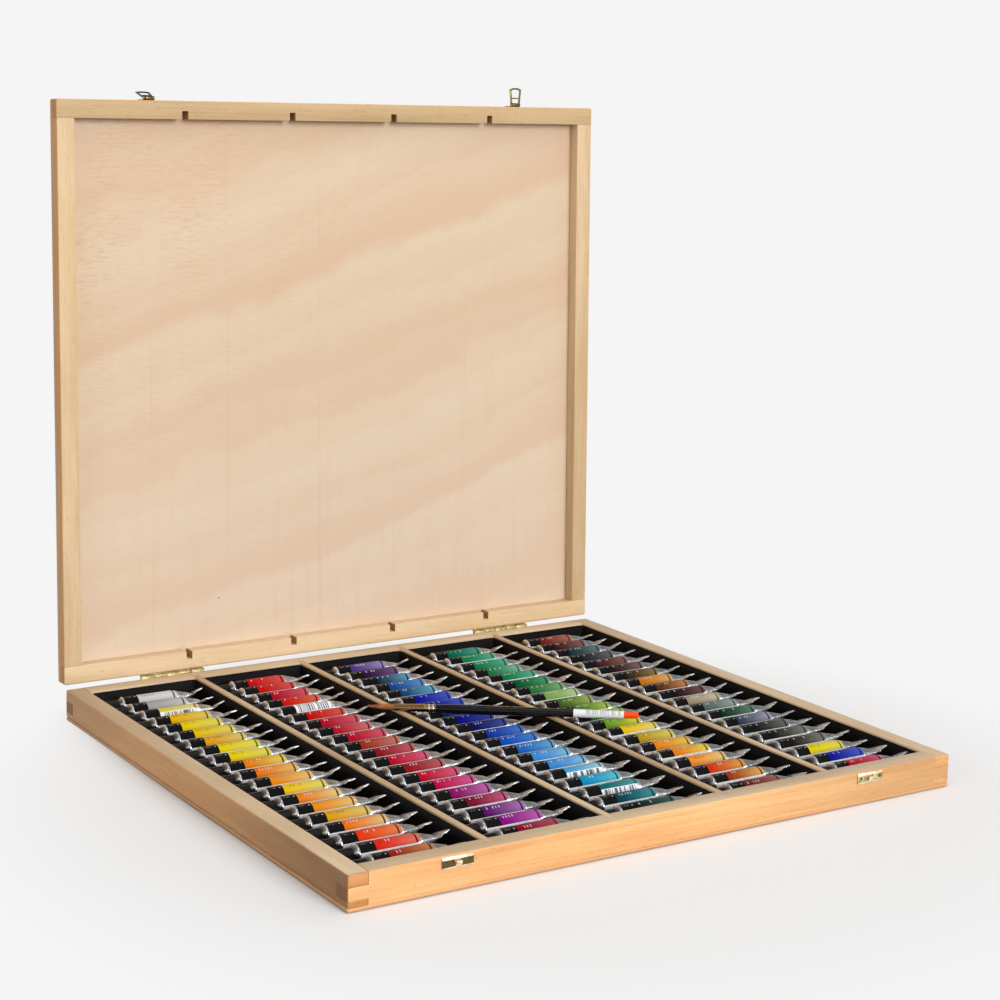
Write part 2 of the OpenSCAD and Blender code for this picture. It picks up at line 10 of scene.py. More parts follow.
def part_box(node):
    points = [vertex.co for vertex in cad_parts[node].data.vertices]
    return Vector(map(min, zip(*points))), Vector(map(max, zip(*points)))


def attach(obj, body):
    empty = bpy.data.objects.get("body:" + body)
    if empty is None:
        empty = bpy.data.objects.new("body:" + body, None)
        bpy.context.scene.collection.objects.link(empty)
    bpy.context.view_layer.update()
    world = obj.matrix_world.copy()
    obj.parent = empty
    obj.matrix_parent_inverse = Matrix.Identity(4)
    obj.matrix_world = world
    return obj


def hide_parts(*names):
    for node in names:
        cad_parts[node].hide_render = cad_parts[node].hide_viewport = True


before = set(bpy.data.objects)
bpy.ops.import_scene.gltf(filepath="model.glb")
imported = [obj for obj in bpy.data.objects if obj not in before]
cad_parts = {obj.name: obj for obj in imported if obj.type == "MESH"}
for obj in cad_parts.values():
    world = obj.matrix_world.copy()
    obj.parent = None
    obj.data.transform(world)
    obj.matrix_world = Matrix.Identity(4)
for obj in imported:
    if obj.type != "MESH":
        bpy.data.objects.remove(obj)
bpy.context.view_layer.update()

# ---- Camera ----
# It stands to the left in front of the box and looks down on it a little. The lens is
# shifted, as a studio camera's is, so that the lid's sides stay almost upright.
camera_place = Vector((-0.84773, -1.30111, 0.48940))
camera_turn, camera_dip, camera_roll = (math.radians(a) for a in (32.257, 7.389, 1.139))
focal_share = 2.1131  # focal length, in widths of the picture

ahead = Vector((math.sin(camera_turn)*math.cos(camera_dip),
                math.cos(camera_turn)*math.cos(camera_dip), -math.sin(camera_dip)))
level = Vector((math.cos(camera_turn), -math.sin(camera_turn), 0))
upright = level.cross(ahead)
right = level*math.cos(camera_roll) + upright*math.sin(camera_roll)
above = upright*math.cos(camera_roll) - level*math.sin(camera_roll)

lens = bpy.data.cameras.new("studio_camera")
lens.sensor_width = 36
lens.lens = focal_share*lens.sensor_width
lens.shift_x = 0.0316
lens.shift_y = -0.125
lens.clip_start, lens.clip_end = 0.01, 100
camera = bpy.data.objects.new("studio_camera", lens)
axes = Matrix((right, above, -ahead)).transposed().to_4x4()
camera.matrix_world = Matrix.Translation(camera_place) @ axes
bpy.context.scene.collection.objects.link(camera)
bpy.context.scene.camera = camera
bpy.context.scene.view_settings.view_transform = "Standard"


# ---- Studio ----
# A pale floor that fades into a pale backdrop, a large soft lamp in front on the right,
# and weaker ones above and on the left. Metal and gloss see the same pale backdrop.
def put(material, kind, given=None, out=0, **settings):
    """Adds a shader node, fills its sockets with values or links, and returns an output."""
    tree = material.node_tree
    made = tree.nodes.new("ShaderNode" + kind)
    for key, value in settings.items():
        setattr(made, key, value)
    for key, value in (given or {}).items():
        if isinstance(value, bpy.types.NodeSocket):
            tree.links.new(value, made.inputs[key])
        else:
            made.inputs[key].default_value = value
    return made.outputs[out] if made.outputs else made


def tone(red, green, blue):
    """A colour written in the 0 to 255 of a paint chart, as light."""
    return tuple(((c/255 + 0.055)/1.055)**2.4 if c > 10 else c/3294.6
                 for c in (red, green, blue)) + (1,)


backdrop_colour = tone(245, 245, 245)
world = bpy.data.worlds.new("studio")
world.use_nodes = True
world.node_tree.nodes.clear()
toward = put(world, "TexCoord", out="Generated")
height = put(world, "SeparateXYZ", {0: toward}, out=2)
ceiling = put(world, "MapRange", {"Value": height, "From Min": 0.10, "From Max": 0.62,
                                  "To Min": 1.0, "To Max": 0.30})
front_right = put(world, "VectorMath", {0: toward, 1: (0.62, -0.76, 0.18)}, out="Value",
                  operation="DOT_PRODUCT")
wall = put(world, "MapRange", {"Value": front_right, "From Min": -0.7, "From Max": 0.9,
                               "To Min": 0.32, "To Max": 0.80})
path = put(world, "LightPath")
seen = put(world, "Math", {0: path, 1: path.node.outputs["Is Glossy Ray"]}, operation="MAXIMUM")
room = put(world, "Background", {"Color": (1, 1, 1, 1), "Strength": wall})
shown = put(world, "Background", {"Color": backdrop_colour, "Strength": ceiling})
sky = put(world, "MixShader", {0: seen, 1: room, 2: shown})
put(world, "OutputWorld", {"Surface": sky})
bpy.context.scene.world = world

floor_finish = bpy.data.materials.new("floor_paint")
floor_finish.use_nodes = True
floor_finish.node_tree.nodes.clear()
spot = put(floor_finish, "TexCoord", out="Object")
reach = put(floor_finish, "VectorMath", {0: spot, 1: (0, -0.1, 0)}, out="Value",
            operation="DISTANCE")
fade = put(floor_finish, "MapRange", {"Value": reach, "From Min": 0.26, "From Max": 0.46},
           interpolation_type="SMOOTHSTEP")
path = put(floor_finish, "LightPath")
seen = put(floor_finish, "Math", {0: path, 1: path.node.outputs["Is Glossy Ray"]},
           operation="MAXIMUM")
far = put(floor_finish, "Math", {0: fade, 1: seen}, operation="MULTIPLY")
pale = put(floor_finish, "Mix", {0: seen, 6: tone(176, 176, 176), 7: tone(238, 238, 238)},
           out=2, data_type="RGBA")
paint = put(floor_finish, "BsdfDiffuse", {"Color": pale})
glow = put(floor_finish, "Emission", {"Color": backdrop_colour, "Strength": 1})
both = put(floor_finish, "MixShader", {0: far, 1: paint, 2: glow})
put(floor_finish, "OutputMaterial", {"Surface": both})

plan = bmesh.new()
bmesh.ops.create_circle(plan, cap_ends=True, segments=96, radius=30)
floor_mesh = bpy.data.meshes.new("floor")
plan.to_mesh(floor_mesh)
plan.free()
floor_mesh.materials.append(floor_finish)
floor = bpy.data.objects.new("floor", floor_mesh)
floor.location.z = -0.0003
bpy.context.scene.collection.objects.link(floor)

lamps = (("key_lamp", (0.4, -5.4, 1.9), 2.2, 225), ("top_lamp", (0.0, -1.0, 3.8), 1.6, 20),
         ("left_lamp", (-3.6, -1.2, 1.2), 1.8, 18))  # name, place, size and watts
for name, place, size, power in lamps:
    lamp = bpy.data.lights.new(name, "AREA")
    lamp.size = size
    lamp.energy = power
    lamp_object = bpy.data.objects.new(name, lamp)
    lamp_object.location = place
    lamp_object.rotation_euler = (Vector((0, 0, 0.1)) - Vector(place)).to_track_quat(
        "-Z", "Y").to_euler()
    bpy.context.scene.collection.objects.link(lamp_object)


# ---- Wooden boards of the base ----
# Four walls of solid wood with finger-jointed corners. They are oiled outside; the rim is
# bare, because base and lid were sawn apart after the box was glued.
def maths(material, how, first, second=0.0):
    return put(material, "Math", {0: first, 1: second}, operation=how)


def blended(material, share, first, second):
    """A second colour laid over the first by share."""
    return put(material, "Mix", {0: share, 6: first, 7: second}, out=2, data_type="RGBA")


def ramped(material, value, low, high):
    """0 below low, 1 above high, and smooth between."""
    return put(material, "MapRange", {"Value": value, "From Min": low, "From Max": high},
               interpolation_type="SMOOTHSTEP")


def noise_of(material, place, size, detail=3.0, rough=0.5):
    """Noise whose features are size metres across."""
    return put(material, "TexNoise", {"Vector": place, "Scale": 1/size, "Detail": detail,
                                      "Roughness": rough})


def stretched(material, place, along, amount):
    """Coordinates that a pattern follows amount times longer along one axis."""
    scale = [1.0, 1.0, 1.0]
    scale["XYZ".index(along)] = 1/amount
    return put(material, "Mapping", {"Vector": place, "Scale": scale})


def finished(material, colour, rough, bump, **more):
    """Closes a material with a Principled shader."""
    given = {"Base Color": colour, "Roughness": rough, "Normal": bump}
    names = {"metallic": "Metallic", "sheen": "Specular IOR Level"}
    given.update({names[key]: value for key, value in more.items()})
    put(material, "OutputMaterial", {"Surface": put(material, "BsdfPrincipled", given)})
    return material


def blank_material(name):
    material = bpy.data.materials.new(name)
    material.use_nodes = True
    material.node_tree.nodes.clear()
    return material


def wood(name, pale, dark, along, shift=(0, 0, 0), sheen=0.35, end=False, darkenings=()):
    """Straight-grained wood: soft broad tones, fine lines along the board and short pores.
    Each darkening (axis, from, to, share) deepens the colour towards one end of the board; on some
    boards it is painted shade."""
    material = blank_material(name)
    place = put(material, "TexCoord", out="Object")
    spot = put(material, "Mapping", {"Vector": place, "Location": shift})
    broad = noise_of(material, stretched(material, spot, along, 7), 0.028, 3, 0.55)
    lines = noise_of(material, stretched(material, spot, along, 45), 0.0016, 5, 0.7)
    pores = noise_of(material, stretched(material, spot, along, 9), 0.0007, 1, 0.4)
    value = maths(material, "ADD", maths(material, "MULTIPLY", broad, 0.62),
                  maths(material, "MULTIPLY", lines, 0.38))
    colour = blended(material, ramped(material, value, 0.36, 0.66), dark, pale)
    pore = ramped(material, pores, 0.63, 0.74)
    colour = blended(material, maths(material, "MULTIPLY", pore, 0.30 if not end else 0.5),
                     colour, tuple(0.45*c for c in dark[:3]) + (1,))
    # Each darkening blends towards a dark brown; on some boards it is painted shade.
    for axis, start, stop, share in darkenings:
        far = put(material, "SeparateXYZ", {0: place}, out=axis)
        if stop < start:
            far, start, stop = maths(material, "MULTIPLY", far, -1), -start, -stop
        deep = maths(material, "MULTIPLY", ramped(material, far, start, stop), share)
        colour = blended(material, deep, colour, tone(98, 62, 42))
    grain = maths(material, "SUBTRACT", lines, maths(material, "MULTIPLY", pore, 0.6))
    rough = put(material, "MapRange", {"Value": lines, "To Min": 0.42, "To Max": 0.6})
    bump = put(material, "Bump", {"Strength": 0.35, "Distance": 0.00012, "Height": grain})
    return finished(material, colour, rough, bump, sheen=sheen)


oiled_pale, oiled_dark = tone(239, 189, 131), tone(221, 161, 102)
bare_pale, bare_dark = tone(212, 188, 156), tone(194, 168, 134)
lid_pale, lid_dark = tone(219, 192, 155), tone(203, 173, 132)
end_pale, end_dark = tone(214, 150, 92), tone(182, 118, 66)
# Painted shade: the sawn faces inside the dadoes take a darker brown.
dado_shade_pale, dado_shade_dark = tone(172, 128, 84), tone(136, 96, 58)
edge_round, corner_round = 0.0005, 0.0016
corner_reach = 0.0006  # how far the leaning lid's corners may lie from their lines
end_tones = {"right_wall": (tone(230, 176, 118), tone(208, 148, 92))}
# Darkenings by board. Painted shade: the front wall darkens towards its right end. The left wall
# darkens towards its front and back ends, the lid's left rail upwards over its lowest part, and the
# lid's back rail towards its left end.
board_darkenings = {"left_wall": ((1, 0.02, -0.229, 0.66), (1, 0.08, 0.229, 0.26)),
                "front_wall": ((0, 0.02, 0.25, 0.30),),
                "lid_rail_left": ((2, -0.1, 0.1, 0.2),),
                "lid_rail_back": ((0, 0.0, -0.24, 0.22),)}
# Painted shade: the front and back walls' end grain darkens towards the box's left side, which lies
# in shade.
end_grain_shade = ((0, 0.0, -0.24, 0.62),)
raw_tones = {"lid_rail_front": (tone(198, 168, 126), tone(178, 147, 104)),
             "lid_rail_back": (lid_pale, lid_dark), "lid_rail_left": (lid_pale, lid_dark),
             "lid_rail_right": (tone(211, 183, 146), tone(194, 163, 122))}


def board_finishes(name, along, shift):
    """A board's finishes: oiled faces, sawn bare faces, oiled end grain and sawn dadoes, whose
    darker tone is painted shade.
    """
    pale, dark = raw_tones.get(name, (bare_pale, bare_dark))
    return [wood(name + "_oiled", oiled_pale, oiled_dark, along, shift,
                 darkenings=board_darkenings.get(name, ())),
            wood(name + "_bare", pale, dark, along, shift, 0.25),
            wood(name + "_end", *end_tones.get(name, (end_pale, end_dark)),
                 "XYZ"["XYZ".index(along) - 1], shift,
                 end=True, darkenings=end_grain_shade if name in ("front_wall", "back_wall") else ()),
            wood(name + "_dado", dado_shade_pale, dado_shade_dark, along, shift, 0.2)]


def eased(node, radius, segments=2, corners=None, glued=None):
    """A welded copy of a CAD piece with whole flat faces and rounded edges, as a bmesh.

    corners lists two axes and the places on them where planed outer corners are rounder;
    glued is an axis and the place on it where a joint lies and edges stay sharp.
    """
    shape = bmesh.new()
    shape.from_mesh(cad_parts[node].data)
    bmesh.ops.remove_doubles(shape, verts=shape.verts, dist=2e-6)
    bmesh.ops.dissolve_limit(shape, angle_limit=math.radians(2), verts=shape.verts,
                             edges=shape.edges)
    if corners:
        outer = [e for e in shape.edges if all(
            min(abs(v.co[axis] - place) for place in places) < corner_reach
            for v in e.verts for axis, places in corners)]
        bmesh.ops.bevel(shape, geom=outer, offset=corner_round, segments=4, profile=0.5,
                        affect="EDGES", material=-1, clamp_overlap=True)
    sharp = [e for e in shape.edges if len(e.link_faces) == 2
             and e.calc_face_angle(0) > math.radians(30)
             and not (glued and all(abs(v.co[glued[0]] - glued[1]) < 1e-5 for v in e.verts))]
    bmesh.ops.bevel(shape, geom=sharp, offset=radius, segments=segments, profile=0.5,
                    affect="EDGES", material=-1, clamp_overlap=True)
    return shape


def piece(name, shape, finishes, body, slot, *nodes):
    """Makes a bmesh an object that rides on a body and stands for CAD nodes."""
    mesh = bpy.data.meshes.new(name)
    shape.to_mesh(mesh)
    shape.free()
    for finish in finishes:
        mesh.materials.append(finish)
    made = bpy.data.objects.new(name, mesh)
    bpy.context.scene.collection.objects.link(made)
    mesh.shade_smooth()
    mesh.set_sharp_from_angle(angle=math.radians(40))
    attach(made, body)
    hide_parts(*nodes)


box_low, box_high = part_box("base_bottom_panel")
lid_low, lid_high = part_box("lid_back_rail")[0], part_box("lid_front_rail")[1]
outer_reach = 0.0007  # how far inside the outer planes a face still counts as outside
corner_lines = {"base": ((0, (box_low.x, box_high.x)), (1, (box_low.y, box_high.y))),
                "lid": ((0, (lid_low.x, lid_high.x)), (2, (lid_low.z, lid_high.z)))}
glue_planes = {"base": (2, box_high.z), "lid": None}


def board(node, name, along, shift, body, slot):
    """A wall or rail: end grain across the grain, oiled outside, bare where it was sawn."""
    shape = eased(node, edge_round, corners=corner_lines[body], glued=glue_planes[body])
    axis = "XYZ".index(along)
    for face in shape.faces:
        middle = face.calc_center_median()
        outside = abs(middle.x) > box_high.x - outer_reach
        if body == "base":
            outside = outside or abs(middle.y) > box_high.y - outer_reach
        else:
            outside = (outside or middle.z > lid_high.z - outer_reach
                       or middle.z < lid_low.z + outer_reach)
        if abs(face.normal[axis]) > 0.8 and outside:
            face.material_index = 2
        # Faces inside a dado take the darker finish, painted shade.
        elif abs(face.normal.x) > 0.8 and not outside and axis == 0:
            face.material_index = 3
        else:
            face.material_index = 0 if outside else 1
    piece(name, shape, board_finishes(name, along, shift), body, slot, node)


board("base_front_wall", "front_wall", "X", (0.3, 0, 0), "base", "base_wood")
board("base_back_wall", "back_wall", "X", (0.9, 0.2, 0), "base", "base_wood")
board("base_left_wall", "left_wall", "Y", (0, 0.5, 0.1), "base", "base_wood")
board("base_right_wall", "right_wall", "Y", (0.1, 1.1, 0), "base", "base_wood")

# ---- Dividers ----
# Thin strips of pale wood stand in dadoes between the front and back walls, glued in
# place and planed level with the rim.
divider_pale, divider_dark = tone(208, 182, 148), tone(178, 148, 112)
divider_round = 0.00035
for k in (1, 2, 3, 4):
    strip = eased(f"divider_{k}", divider_round)
    finish = wood(f"divider_{k}_wood", divider_pale, divider_dark, "Y", (0.13*k, 0.21*k, 0), 0.25)
    piece(f"divider_strip_{k}", strip, [finish], "base", "divider_wood", f"divider_{k}")

# ---- Lid frame ----
# Four rails of the same wood and with the same finger joints as the base. Their dadoes were
# cut together with the base's, before the glued box was sawn apart into base and lid.
board("lid_front_rail", "lid_rail_front", "X", (0.2, 0, 0.3), "lid", "lid_wood")
board("lid_back_rail", "lid_rail_back", "X", (0.5, 0, 0.1), "lid", "lid_wood")
board("lid_left_rail", "lid_rail_left", "Z", (0, 0.4, 0.2), "lid", "lid_wood")
board("lid_right_rail", "lid_rail_right", "Z", (0, 0.7, 0.6), "lid", "lid_wood")


# ---- Lid panel ----
# A sheet of rotary-cut plywood, bare inside and oiled outside, glued on the frame. Slanting
# bands turn slowly from cream to pink and end sharply where the knife left a year's ring.
# Short level ripples, upright knife marks and a pin knot cross them.
band_run, band_cross = (0.940, 0, 0.342), (0.342, 0, -0.940)
knife_marks = ((-0.169, 0.20), (-0.102, 0.22), (-0.017, 0.30), (0.055, 0.16),
               (0.126, 0.12), (0.155, 0.10))  # place across the sheet, and share of tone
rippled_corner = (-0.24, 0.25, 0.46)
knot_place, knot_height_scale = (-0.111, 0, 0.144), 1.8


def veneer(name, cream, pink):
    """Rotary-cut veneer, from its cream tone to its pink one in slanting bands."""
    material = blank_material(name)
    spot = put(material, "TexCoord", out="Object")
    across = put(material, "VectorMath", {0: spot, 1: band_cross}, out="Value",
                 operation="DOT_PRODUCT")
    along = put(material, "VectorMath", {0: spot, 1: band_run}, out="Value",
                operation="DOT_PRODUCT")
    flow = put(material, "CombineXYZ", {0: maths(material, "MULTIPLY", along, 0.3), 2: across})
    drift = noise_of(material, flow, 0.16, 2, 0.4)
    waver = noise_of(material, spot, 0.05, 3, 0.6)
    value = maths(material, "ADD", maths(material, "MULTIPLY", drift, 1.3),
                  maths(material, "MULTIPLY", waver, 0.3))
    broad = maths(material, "FRACT", maths(material, "ADD", value,
                                           maths(material, "MULTIPLY", across, 8.6)))
    narrow = maths(material, "FRACT", maths(material, "ADD", maths(
        material, "MULTIPLY", value, 2.6), maths(material, "MULTIPLY", across, 21)))

    def band(value):
        return maths(material, "MULTIPLY", ramped(material, value, 0.15, 0.85),
                     maths(material, "SUBTRACT", 1, ramped(material, value, 0.90, 1.0)))

    streaks = noise_of(material, put(material, "CombineXYZ", {
        0: maths(material, "MULTIPLY", along, 0.08), 2: across}), 0.006, 3, 0.6)
    share = maths(material, "ADD", maths(material, "MULTIPLY", band(broad), 0.62),
                  maths(material, "MULTIPLY", band(narrow), 0.3))
    share = maths(material, "ADD", share, maths(material, "MULTIPLY", maths(
        material, "SUBTRACT", streaks, 0.5), 0.7))
    colour = blended(material, share, cream, pink)
    # Painted light: the veneer is lightened towards the bottom of the lid, where the base shades
    # it.
    z = put(material, "SeparateXYZ", {0: spot}, out=2)
    colour = blended(material, maths(material, "MULTIPLY", ramped(material, z, 0.36, 0.05),
                                     0.26), colour, tone(240, 222, 204))
    # Ripples, strongest in the upper left corner
    ripple = noise_of(material, stretched(material, spot, "X", 6), 0.0017, 2, 0.5)
    corner = put(material, "VectorMath", {0: spot, 1: rippled_corner}, out="Value",
                 operation="DISTANCE")
    near = maths(material, "ADD", ramped(material, corner, 0.36, 0.04), 0.28)
    patchy = ramped(material, noise_of(material, stretched(material, spot, "Z", 3), 0.03, 2),
                    0.25, 0.7)
    strength = maths(material, "MULTIPLY", maths(material, "MULTIPLY", near, patchy), 0.30)
    colour = blended(material, maths(material, "MULTIPLY", ramped(
        material, ripple, 0.44, 0.66), strength), colour, tone(200, 150, 114))
    # Upright knife marks
    x = put(material, "SeparateXYZ", {0: spot})
    fine = noise_of(material, stretched(material, spot, "Z", 30), 0.006, 2, 0.5)
    marks = maths(material, "MULTIPLY", ramped(material, fine, 0.5, 0.75), 0.09)
    for at, depth in knife_marks:
        gap = maths(material, "ABSOLUTE", maths(material, "SUBTRACT", x, at))
        line = maths(material, "MULTIPLY", ramped(material, gap, 0.0012, 0.0002), depth)
        marks = maths(material, "ADD", marks, maths(material, "MULTIPLY", line, patchy))
    colour = blended(material, marks, colour, tone(204, 156, 122))
    knot = put(material, "VectorMath", {0: put(material, "Mapping", {
        "Vector": spot, "Scale": (1, 0, knot_height_scale)}), 1: knot_place}, out="Value",
        operation="DISTANCE")
    colour = blended(material, maths(material, "MULTIPLY", ramped(
        material, knot, 0.0017, 0.0004), 0.7), colour, tone(112, 84, 60))
    fibre = noise_of(material, stretched(material, spot, "X", 14), 0.0009, 2, 0.6)
    colour = blended(material, maths(material, "MULTIPLY", ramped(
        material, fibre, 0.5, 0.8), 0.10), colour, tone(190, 158, 128))
    bump = put(material, "Bump", {"Strength": 0.25, "Distance": 0.0001, "Height": ripple})
    return finished(material, colour, 0.66, bump, sheen=0.2)


def ply_edge(name, across):
    """The edge of three-ply: pale veneers over a darker core."""
    material = blank_material(name)
    spot = put(material, "TexCoord", out="Object")
    parts = put(material, "SeparateXYZ", {0: spot})
    depth = parts.node.outputs["XYZ".index(across)]
    low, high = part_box("lid_panel" if across == "Y" else "base_bottom_panel")
    middle = (low["XYZ".index(across)] + high["XYZ".index(across)])/2
    off = maths(material, "ABSOLUTE", maths(material, "SUBTRACT", depth, middle))
    fibre = noise_of(material, spot, 0.0012, 3, 0.6)
    core = ramped(material, maths(material, "ADD", off, maths(material, "MULTIPLY", fibre,
                                                              0.0004)), 0.0011, 0.0007)
    colour = blended(material, core, tone(236, 182, 120), tone(214, 158, 104))
    bump = put(material, "Bump", {"Strength": 0.3, "Distance": 0.0001, "Height": fibre})
    return finished(material, colour, 0.6, bump, sheen=0.25)


panel = eased("lid_panel", edge_round, corners=corner_lines["lid"], glued=glue_planes["lid"])
for face in panel.faces:
    face.material_index = 0 if face.normal.y < -0.5 else 1 if face.normal.y > 0.5 else 2
piece("lid_sheet", panel, [veneer("lid_veneer", tone(209, 188, 162), tone(204, 174, 146)),
                           veneer("lid_oiled", tone(232, 188, 140), tone(224, 168, 118)),
                           ply_edge("lid_panel_edge", "Y")], "lid", "plywood", "lid_panel")


# ---- Bottom ----
# A sheet of three-ply with pale veneers over a darker core. It is glued on under the four
# walls and planed flush with them all round.
bottom = eased("base_bottom_panel", edge_round, corners=corner_lines["base"],
               glued=glue_planes["base"])
for face in bottom.faces:
    face.material_index = 0 if abs(face.normal.z) > 0.5 else 1
bottom_veneer = wood("bottom_veneer", tone(228, 182, 136), tone(206, 154, 110), "X",
                     (0.4, 0.1, 0))
piece("bottom_panel", bottom, [bottom_veneer, ply_edge("bottom_edge", "Z")], "base",
      "plywood", "base_bottom_panel")

# ---- Brass fittings ----
# Pressed and plated sheet: the hinges' leaves, the catches' plates and loops, the keepers
# and their small nails. The plating is dull, with darker tarnish in patches. A band about
# the left keeper's middle height is darkened as a painted dark reflection.
def metal(name, colour, shade, rough, spots=0.004, level=None):
    """Metal with tarnish in patches, and darker in a level band about the height level: a painted
    dark reflection.
    """
    material = blank_material(name)
    spot = put(material, "TexCoord", out="Object")
    patches = noise_of(material, spot, spots, 4, 0.6)
    share = ramped(material, patches, 0.42, 0.7)
    if level:
        # Painted dark reflection: the band about the height level is darkened.
        z = put(material, "SeparateXYZ", {0: spot}, out=2)
        off = maths(material, "ABSOLUTE", maths(material, "SUBTRACT", z, level))
        share = maths(material, "ADD", share, ramped(material, off, 0.0031, 0.0018))
    colours = blended(material, share, colour, shade)
    dull = put(material, "MapRange", {"Value": patches, "To Min": rough - 0.08,
                                      "To Max": rough + 0.16})
    scratch = noise_of(material, stretched(material, spot, "X", 12), 0.0003, 2, 0.5)
    bump = put(material, "Bump", {"Strength": 0.2, "Distance": 0.00003, "Height": scratch})
    return finished(material, colours, dull, bump, metallic=1.0)


brass_round = 0.00012
tongue_half = 0.0022  # half the width of a keeper's tongue
keeper_low, keeper_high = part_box("keeper_left")
# The left keeper's brass, with the painted dark reflection about its middle height.
brass = metal("plated_brass", tone(220, 206, 152), tone(112, 96, 58), 0.24, 0.006,
              (keeper_low.z + keeper_high.z)/2 - 0.0004)
# Darker brass for the catches' plates and loops.
bronze = metal("dark_brass", tone(128, 112, 74), tone(78, 64, 38), 0.28)
hinge_brass = metal("hinge_brass", tone(206, 192, 142), tone(150, 134, 88), 0.52, 0.002)
# Painted light: the right keeper is seen at another angle to the light, so it takes this paler
# brass without the band.
pale_brass = metal("pale_brass", tone(226, 210, 150), tone(150, 132, 80), 0.34, 0.003)
# Painted highlight: the keepers' tongues are brass lightened almost to white.
tongue_highlight_brass = metal("tongue_highlight_brass", tone(248, 244, 226), tone(214, 202, 166), 0.42)
steel = metal("pin_steel", tone(176, 174, 168), tone(120, 118, 112), 0.34)
for side in ("left", "right"):
    for node, body, finish in (
            (f"keeper_{side}", "base", brass if side == "left" else pale_brass),
            (f"base_hinge_leaf_{side}", "base", hinge_brass),
            (f"lid_hinge_leaf_{side}", "lid", hinge_brass), (f"catch_plate_{side}", "lid", bronze),
            (f"catch_loop_{side}", f"catch_loop_{side}", bronze)):
        shape = eased(node, brass_round)
        low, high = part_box(node)
        for face in shape.faces:
            off = abs(face.calc_center_median().x - (low.x + high.x)/2)
            # A keeper's middle faces, its tongue, take the painted highlight.
            face.material_index = int("keeper" in node and off < tongue_half)
        piece("brass_" + node, shape, [finish, tongue_highlight_brass], body, "brass", node)
for node, body in (("keeper_nails", "base"), ("catch_nails", "lid"),
                   ("base_hinge_screws", "base"), ("lid_hinge_screws", "lid"),
                   ("catch_pins", "lid")):
    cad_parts[node].data.materials.clear()
    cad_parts[node].data.materials.append(brass)
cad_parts["hinge_pins"].data.materials.clear()
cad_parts["hinge_pins"].data.materials.append(steel)


# ---- Trays ----
# Thin black plastic, vacuum formed, with walls, a floor and a cradle with a trough for each
# tube. A tray drops into its bay and is held by nothing but its own fit.
def plastic(name, colour, rough, grain, sheen=0.18):
    material = blank_material(name)
    spot = put(material, "TexCoord", out="Object")
    patches = noise_of(material, spot, 0.02, 3, 0.5)
    fine = noise_of(material, spot, grain, 2, 0.5)
    dull = put(material, "MapRange", {"Value": patches, "To Min": rough - 0.06,
                                      "To Max": rough + 0.1})
    bump = put(material, "Bump", {"Strength": 0.15, "Distance": 0.00008, "Height": fine})
    return finished(material, colour, dull, bump, sheen=sheen)


tray_round = 0.0002
liner = plastic("liner_plastic", tone(12, 10, 10), 0.5, 0.0012, 0.08)
for k in range(1, 6):
    piece(f"liner_{k}", eased(f"tray_{k}", tray_round, 1), [liner], f"tray_{k}",
          "tray_plastic", f"tray_{k}")

# ---- Paint tubes ----
# Aluminium tubes: a neck under the cap, a cone with a raised rim, a round body that thins
# to a flat crimp, and an end folded over twice. A printed label wraps the body: a black
# band, a patch of the paint's own colour that fades along the tube, and a white side.

# Lengths are measured from the cap's end, and belly, crimp and sheet are half sizes.
tube_r, neck_r, lip_r, cone_r, rim_r, bead_r = 0.007, 0.0036, 0.0046, 0.0064, 0.0067, 0.00712
cap_len, cap_wide, neck_len = 0.0146, 0.0106, 0.009
cone_from, body_from, taper_from = 0.0120, 0.0153, 0.05624
belly_to, crimp_from = 0.07044, 0.07324
belly_wide, belly_thick, crimp_half, sheet_half = 0.0086, 0.0036, 0.01075, 0.00045
tube_count, tube_roll, tube_bend, ring_points = 20, 25, 16, 40
cap_gap = 0.003  # from the tray's end to the caps
body_dent, belly_dent = 0.00012, 0.0003
# The folded end, step by step: length, pitch in degrees and half thickness
fold = ((0.0010, 46, 0.00050), (0.0014, 40, 0.00060), (0.0012, 18, 0.00085),
        (0.0016, 4, 0.00080), (0.0014, 20, 0.00095), (0.0014, 12, 0.00080),
        (0.0006, 0, 0.00050))

